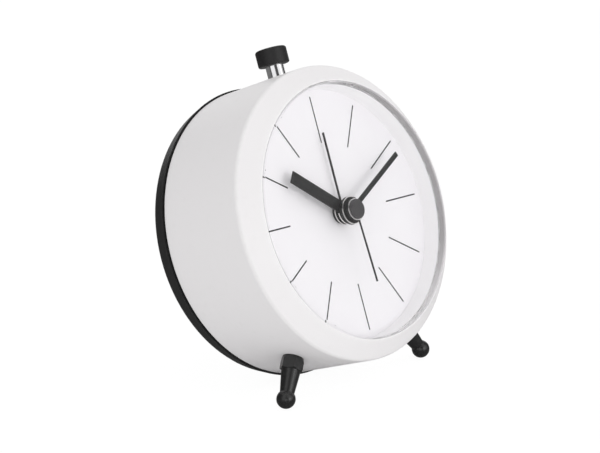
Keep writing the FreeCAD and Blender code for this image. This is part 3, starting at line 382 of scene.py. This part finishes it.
def acrylic(name, look):
    material, spot = newFinish(name)
    smear = noise(spot, look["smearSize"]).between(*look["smearLevels"])
    clear = sheen(spot, Base_Color=look["colour"], Roughness=smear * look["smear"], IOR=look["ior"],
                  Transmission_Weight=1.0, Specular_Tint=look["mirrorTint"])
    through = spot.add("BsdfTransparent", None, {"Color": look["clearness"]})
    shadedSkirt = spot.add("BsdfTransparent", None, {"Color": look["skirtShadeTint"]})
    shine = spot.add("BsdfGlossy", None, {"Roughness": look["rimRoughness"]})

    mirrored = spot.add("Fresnel", None, {"IOR": look["ior"]})
    trapped = mirrored.between(*look["trapping"])
    depth = along(spot, "Y")
    reach = reachOf(spot)
    rim = depth.onFrom(look["rearFace"]) * reach.beyond(look["rearRim"])
    rim = spot.maths("MAXIMUM", rim, reach.beyond(look["frontRim"]))
    rim = spot.maths("MAXIMUM", rim, trapped)
    shadeAmount = along(spot, "Z").between(*look["skirtShadeFade"])
    ray = spot.add("LightPath", None, None, "Is Shadow Ray")

    edge = mixed(mirrored * (1 - trapped), through, shine)
    solid = mixed(rim, clear, edge)
    # Painted shade: the skirt is tinted grey, fully at the top and fading out towards the bottom
    solid = mixed(depth.onFrom(look["skirtStart"]), solid, mixed(shadeAmount, through, shadedSkirt))
    solid = mixed(ray.out("Is Diffuse Ray"), solid, through)
    close(spot, mixed(ray, solid, through))
    return material


# Bare metals: fine marks run along or round the piece, with a duller film in patches
def bareMetal(name, look):
    material, spot = newFinish(name)
    film = noise(spot, look["filmSize"], detail=4.0).between(*look["filmLevels"])
    marks = noise(spot, look["markSize"], detail=2.0, stretch=look["stretch"])
    tone = film.blend(look["colour"], look["filmColour"])
    rough = look["roughness"] + film * look["dulling"] + (marks - 0.5) * look["brushing"]
    normal = bump(spot, marks, look["markDepth"])
    close(spot, sheen(spot, Base_Color=tone, Metallic=1.0, Roughness=rough, Normal=normal))
    return material


chrome = {
    "colour": screen(247, 247, 248),
    "filmColour": screen(232, 232, 234), "filmSize": 4.0, "filmLevels": (0.42, 0.72),
    "roughness": 0.07, "dulling": 0.05, "brushing": 0.03, "markSize": 0.5, "stretch": (0.4, 0.4, 6.0),
    "markDepth": 0.0012,
}
steel = dict(chrome, colour=screen(196, 197, 199), filmColour=screen(172, 171, 170), roughness=0.24,
             dulling=0.12, brushing=0.1, markDepth=0.004, stretch=(3.0, 0.3, 3.0))
zinc = dict(chrome, colour=screen(205, 207, 212), filmColour=screen(182, 184, 186), roughness=0.28,
            dulling=0.16, brushing=0.08, filmSize=1.4, markDepth=0.003, stretch=(1, 1, 1))
nickel = dict(steel, colour=screen(214, 212, 206), filmColour=screen(190, 186, 178), roughness=0.2)
brass = dict(steel, colour=screen(206, 176, 104), filmColour=screen(176, 144, 84), roughness=0.22)
coreIron = dict(steel, colour=screen(150, 151, 154), filmColour=screen(126, 124, 122), roughness=0.36)
ferrite = dict(steel, colour=screen(96, 96, 100), filmColour=screen(74, 73, 74), roughness=0.48,
               filmSize=0.7, stretch=(1, 1, 1), markDepth=0.01)


# Enamelled wire wound in close turns along X
copperWire = {"colour": screen(196, 112, 62), "gap": screen(96, 48, 26), "gapLevels": (0.0, 0.6),
              "turn": 0.18, "depth": 0.05, "roughness": 0.26, "roughDrift": 0.12, "driftSize": 2.4}


def winding(name, look):
    material, spot = newFinish(name)
    wave = spot.maths("SINE", along(spot, "X") * (2 * math.pi / look["turn"])) * 0.5 + 0.5
    drift = noise(spot, look["driftSize"], detail=2.0)
    tone = wave.between(*look["gapLevels"]).blend(look["gap"], look["colour"])
    rough = look["roughness"] + drift * look["roughDrift"]
    normal = bump(spot, wave, look["depth"])
    close(spot, sheen(spot, Base_Color=tone, Metallic=1.0, Roughness=rough, Normal=normal))
    return material


# Circuit board: green mask with copper tracks under it
boardMask = {"mask": screen(28, 92, 58), "track": screen(52, 122, 74), "pitch": 2.3, "width": (0.3, 0.42),
             "bendSize": 6.0, "bend": 3.0, "proud": 0.03, "roughness": 0.3, "roughDrift": 0.1}


def circuit(name, look):
    material, spot = newFinish(name)
    wander = noise(spot, look["bendSize"], detail=1.0)
    across = along(spot, "Z") + wander * look["bend"]
    ripple = spot.maths("PINGPONG", across, look["pitch"] / 2)
    track = 1 - ripple.between(*look["width"])
    tone = track.blend(look["mask"], look["track"])
    rough = look["roughness"] + wander * look["roughDrift"]
    normal = bump(spot, track, look["proud"])
    close(spot, sheen(spot, Base_Color=tone, Roughness=rough, Normal=normal))
    return material


# Battery sleeve in two plain colours, with its bare ends
cellSleeve = {"body": screen(44, 46, 50), "band": screen(176, 122, 76), "bandStart": (11.95, 12.05),
              "metal": screen(205, 205, 204), "metalStart": (23.6, 23.7), "roughness": 0.3,
              "scuff": 0.15, "scuffColour": screen(120, 118, 114), "scuffSize": 3.0,
              "scuffLevels": (0.55, 0.7)}


def sleeve(name, look):
    material, spot = newFinish(name)
    length = along(spot, "X")
    scuff = noise(spot, look["scuffSize"], detail=5.0).between(*look["scuffLevels"]) * look["scuff"]
    band = length.between(*look["bandStart"])
    metal = spot.maths("ABSOLUTE", length).between(*look["metalStart"])
    tone = band.blend(look["body"], look["band"])
    tone = scuff.blend(tone, look["scuffColour"])
    tone = metal.blend(tone, look["metal"])
    close(spot, sheen(spot, Base_Color=tone, Metallic=metal, Roughness=look["roughness"] + scuff))
    return material


finishes = {
    "whiteCase": moulded("whiteCase", whiteCase, caseRub),
    "whiteRing": moulded("whiteRing", whiteRing),
    "dialPaint": dialFinish("dialPaint", dialPaint),
    "lensAcrylic": acrylic("lensAcrylic", lensAcrylic),
    "blackCover": moulded("blackCover", blackCover, coverRub),
    "blackGloss": moulded("blackGloss", blackGloss),
    "blackCap": moulded("blackCap", blackCap, capRub),
    "blackPaint": moulded("blackPaint", blackPaint, footRub),
    "movementPlastic": moulded("movementPlastic", movementPlastic),
    "gearPlastic": moulded("gearPlastic", gearPlastic),
    "bobbinPlastic": moulded("bobbinPlastic", bobbinPlastic),
    "chipResin": moulded("chipResin", chipResin),
    "alarmLacquer": moulded("alarmLacquer", alarmLacquer, bare=hubRing(hubRings["alarm"])),
    "hourLacquer": moulded("hourLacquer", lacquer, bare=hubRing(hubRings["hour"])),
    "minuteLacquer": moulded("minuteLacquer", lacquer, bare=hubRing(hubRings["minute"])),
    "secondLacquer": moulded("secondLacquer", lacquer, bare=hubRing(hubRings["second"])),
    "capLacquer": moulded("capLacquer", capLacquer),
    "printInk": moulded("printInk", printInk),
    "chrome": bareMetal("chrome", chrome),
    "steel": bareMetal("steel", steel),
    "zinc": bareMetal("zinc", zinc),
    "nickel": bareMetal("nickel", nickel),
    "brass": bareMetal("brass", brass),
    "coreIron": bareMetal("coreIron", coreIron),
    "ferrite": bareMetal("ferrite", ferrite),
    "copperWire": winding("copperWire", copperWire),
    "boardMask": circuit("boardMask", boardMask),
    "cellSleeve": sleeve("cellSleeve", cellSleeve),
}

# The nodes that wear each finish
nodeFinishes = {
    "whiteCase": ["case_shell"],
    "whiteRing": ["dial_ring"],
    "dialPaint": ["dial"],
    "lensAcrylic": ["lens"],
    "blackCover": ["back_cover", "battery_door"],
    "blackGloss": ["time_knob", "alarm_knob", "alarm_switch_lever"],
    "blackCap": ["button_cap"],
    "blackPaint": ["foot_left", "foot_right"],
    "movementPlastic": ["dial_carrier", "movement_plate", "movement_housing", "alarm_switch", "stem_guide",
                        "snooze_switch"],
    "gearPlastic": ["alarm_wheel", "hour_wheel", "motion_wheel", "centre_wheel", "third_wheel",
                    "second_wheel", "intermediate_wheel", "rotor_pinion", "time_set_arbor",
                    "alarm_set_arbor"],
    "bobbinPlastic": ["coil_bobbin"],
    "chipResin": ["clock_chip"],
    "alarmLacquer": ["alarm_hand"],
    "hourLacquer": ["hour_hand"],
    "minuteLacquer": ["minute_hand"],
    "secondLacquer": ["second_hand"],
    "capLacquer": ["second_hand_cap"],
    "chrome": ["button_stem"],
    "steel": ["quartz_crystal"],
    "zinc": ["movement_screws", "cover_screws", "foot_washers", "foot_nuts"],
    "nickel": ["clutch_washer", "battery_contact_positive", "battery_contact_negative", "stem_clip",
               "button_spring"],
    "brass": ["cannon_pinion", "buzzer"],
    "coreIron": ["stator", "coil_core"],
    "ferrite": ["rotor_magnet"],
    "copperWire": ["coil_winding"],
    "boardMask": ["circuit_board"],
    "cellSleeve": ["battery"],
}
for finishName, nodeNames in nodeFinishes.items():
    for nodeName in nodeNames:
        node = frame["nodes"][nodeName]
        for materialSlot in node.material_slots:
            materialSlot.material = finishes[finishName]
unfinished = set(frame["nodes"]) - {name for names in nodeFinishes.values() for name in names}
print("finishes made:", len(finishes), "- nodes without one:", sorted(unfinished))


# Floor and surroundings: white to the camera, with a panelled room for gloss to mirror

studio = {
    "worldGlow": 0.83,                             # light from all round; the camera sees 1
    "room": 0.08,                                  # what gloss mirrors between the panels
    "panels": ((-28, 24), (60, 28), (180, 34)),    # middle and half width, in degrees right of the camera
    "panelEdge": 4,                                # softness of a panel's sides, in degrees
    "ceiling": (0.75, 0.95),                       # rise at which the bright ceiling starts and is full
}
floorLook = {
    "size": 6.0, "colour": (0.93, 0.93, 0.93, 1),
    "white": 1.04,                                 # how bright its own glow is to the camera
    "glow": 0.92,                                  # share of that glow; the rest is lit by the lamps
    "mirrored": 0.18,                              # how bright it is where gloss mirrors it
}


# The Light Path node, and whether a ray comes from the camera, straight or through clear pieces
def sightOf(shade):
    ray = shade.add("LightPath", None, None, "Is Camera Ray")
    return ray, shade.maths("MAXIMUM", ray, ray.out("Is Transmission Ray"))


# White panels stand round the clock at their bearings, with a darker room between them
def panelGlow(shade, settings):
    towards = bpy.context.scene.camera.matrix_world.translation - standing.translation
    towards.z = 0
    towards.normalize()
    aside = Vector((0, 0, 1)).cross(towards)
    way = shade.add("TexCoord", None, None, "Generated")
    ahead = shade.add("VectorMath", {"operation": "DOT_PRODUCT"}, {0: way, 1: towards}, "Value")
    right = shade.add("VectorMath", {"operation": "DOT_PRODUCT"}, {0: way, 1: aside}, "Value")
    bearing = shade.maths("ARCTAN2", right, ahead) * (180 / math.pi)
    glow = along(way, "Z").between(*settings["ceiling"])
    edge = settings["panelEdge"]
    for middle, half in settings["panels"]:
        apart = shade.maths("ABSOLUTE", shade.maths("WRAP", bearing - middle, 180, -180))
        glow = shade.maths("MAXIMUM", glow, 1 - apart.between(half - edge, half + edge))
    return glow * (1 - settings["room"]) + settings["room"]


def addWorld(settings):
    world = bpy.data.worlds.new("studio")
    bpy.context.scene.world = world
    world.use_nodes = True
    world.node_tree.nodes.clear()
    shade = Shade(world.node_tree)
    ray, seen = sightOf(shade)
    glow = settings["worldGlow"]
    plain = seen * (1 - glow) + glow
    mirrored = panelGlow(shade, settings)
    strength = ray.out("Is Glossy Ray") * (mirrored - plain) + plain
    light = shade.add("Background", None, {"Color": (1, 1, 1, 1), "Strength": strength})
    shade.add("OutputWorld", None, {"Surface": light})


def addFloor(settings):
    bpy.ops.object.select_all(action="DESELECT")
    bpy.ops.mesh.primitive_plane_add(size=settings["size"])
    floor = bpy.context.object
    floor.name = "floor"
    material, shade = emptyMaterial("floor")
    ray, seen = sightOf(shade)
    lit = shade.add("BsdfDiffuse", None, {"Color": settings["colour"]})
    white = shade.add("Emission", None, {"Color": (1, 1, 1, 1), "Strength": settings["white"]})
    dim = shade.add("Emission", None, {"Color": (1, 1, 1, 1), "Strength": settings["mirrored"]})
    plain = mixed(seen * settings["glow"], lit, white)
    close(shade, mixed(ray.out("Is Glossy Ray"), plain, dim))
    floor.data.materials.append(material)


addCamera(camera)
for lampName, lampSettings in lamps.items():
    addLamp(lampName, lampSettings)
addWorld(studio)
addFloor(floorLook)
print("studio set up")


# Tools for new pieces. They are modelled in the clock's frame and then set in place.

def takeUp(thing):
    bpy.ops.object.select_all(action="DESELECT")
    thing.select_set(True)
    bpy.context.view_layer.objects.active = thing


def bakeScale(thing):
    takeUp(thing)
    bpy.ops.object.transform_apply(location=True, rotation=True, scale=True)


def applyModifier(thing, kind, **settings):
    takeUp(thing)
    modifier = thing.modifiers.new(kind.lower(), kind)
    for name, value in settings.items():
        setattr(modifier, name, value)
    bpy.ops.object.modifier_apply(modifier=modifier.name)


def copyOf(thing, turn):
    copy = thing.copy()
    copy.data = thing.data.copy()
    copy.data.transform(turn)
    bpy.context.scene.collection.objects.link(copy)
    return copy


def joinUp(things):
    takeUp(things[0])
    for thing in things:
        thing.select_set(True)
    bpy.ops.object.join()
    return things[0]


def settle(thing, name, body, finish):
    thing.name = name
    thing.data.name = name
    thing.data.transform(standing)
    thing.data.materials.clear()
    thing.data.materials.append(finishes[finish])
    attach(thing, body)


# Twelve thin hour lines printed on the dial

dialMarks = {"count": 12, "inner": 23.1, "outer": 38.15, "width": 0.46, "proud": 0.02, "corner": 0.06,
             "cornerSteps": 3}


def makeDialMarks(settings):
    bpy.ops.object.select_all(action="DESELECT")
    middle = (settings["inner"] + settings["outer"]) / 2
    bpy.ops.mesh.primitive_plane_add(size=1, location=(0, 0, middle * mm), rotation=(math.pi / 2, 0, 0))
    mark = bpy.context.object
    mark.scale = (settings["width"] * mm, (settings["outer"] - settings["inner"]) * mm, 1)
    bakeScale(mark)
    bpy.ops.object.mode_set(mode="EDIT")
    bpy.ops.mesh.select_all(action="SELECT")
    bpy.ops.mesh.bevel(offset=settings["corner"] * mm, segments=settings["cornerSteps"], affect="VERTICES")
    bpy.ops.object.mode_set(mode="OBJECT")
    applyModifier(mark, "SOLIDIFY", thickness=settings["proud"] * mm, offset=1)    # towards the reader
    step = 2 * math.pi / settings["count"]
    copies = [copyOf(mark, Matrix.Rotation(turn * step, 4, "Y")) for turn in range(1, settings["count"])]
    settle(joinUp([mark] + copies), "dialMarks", "clock", "printInk")


makeDialMarks(dialMarks)
print("dial marked")
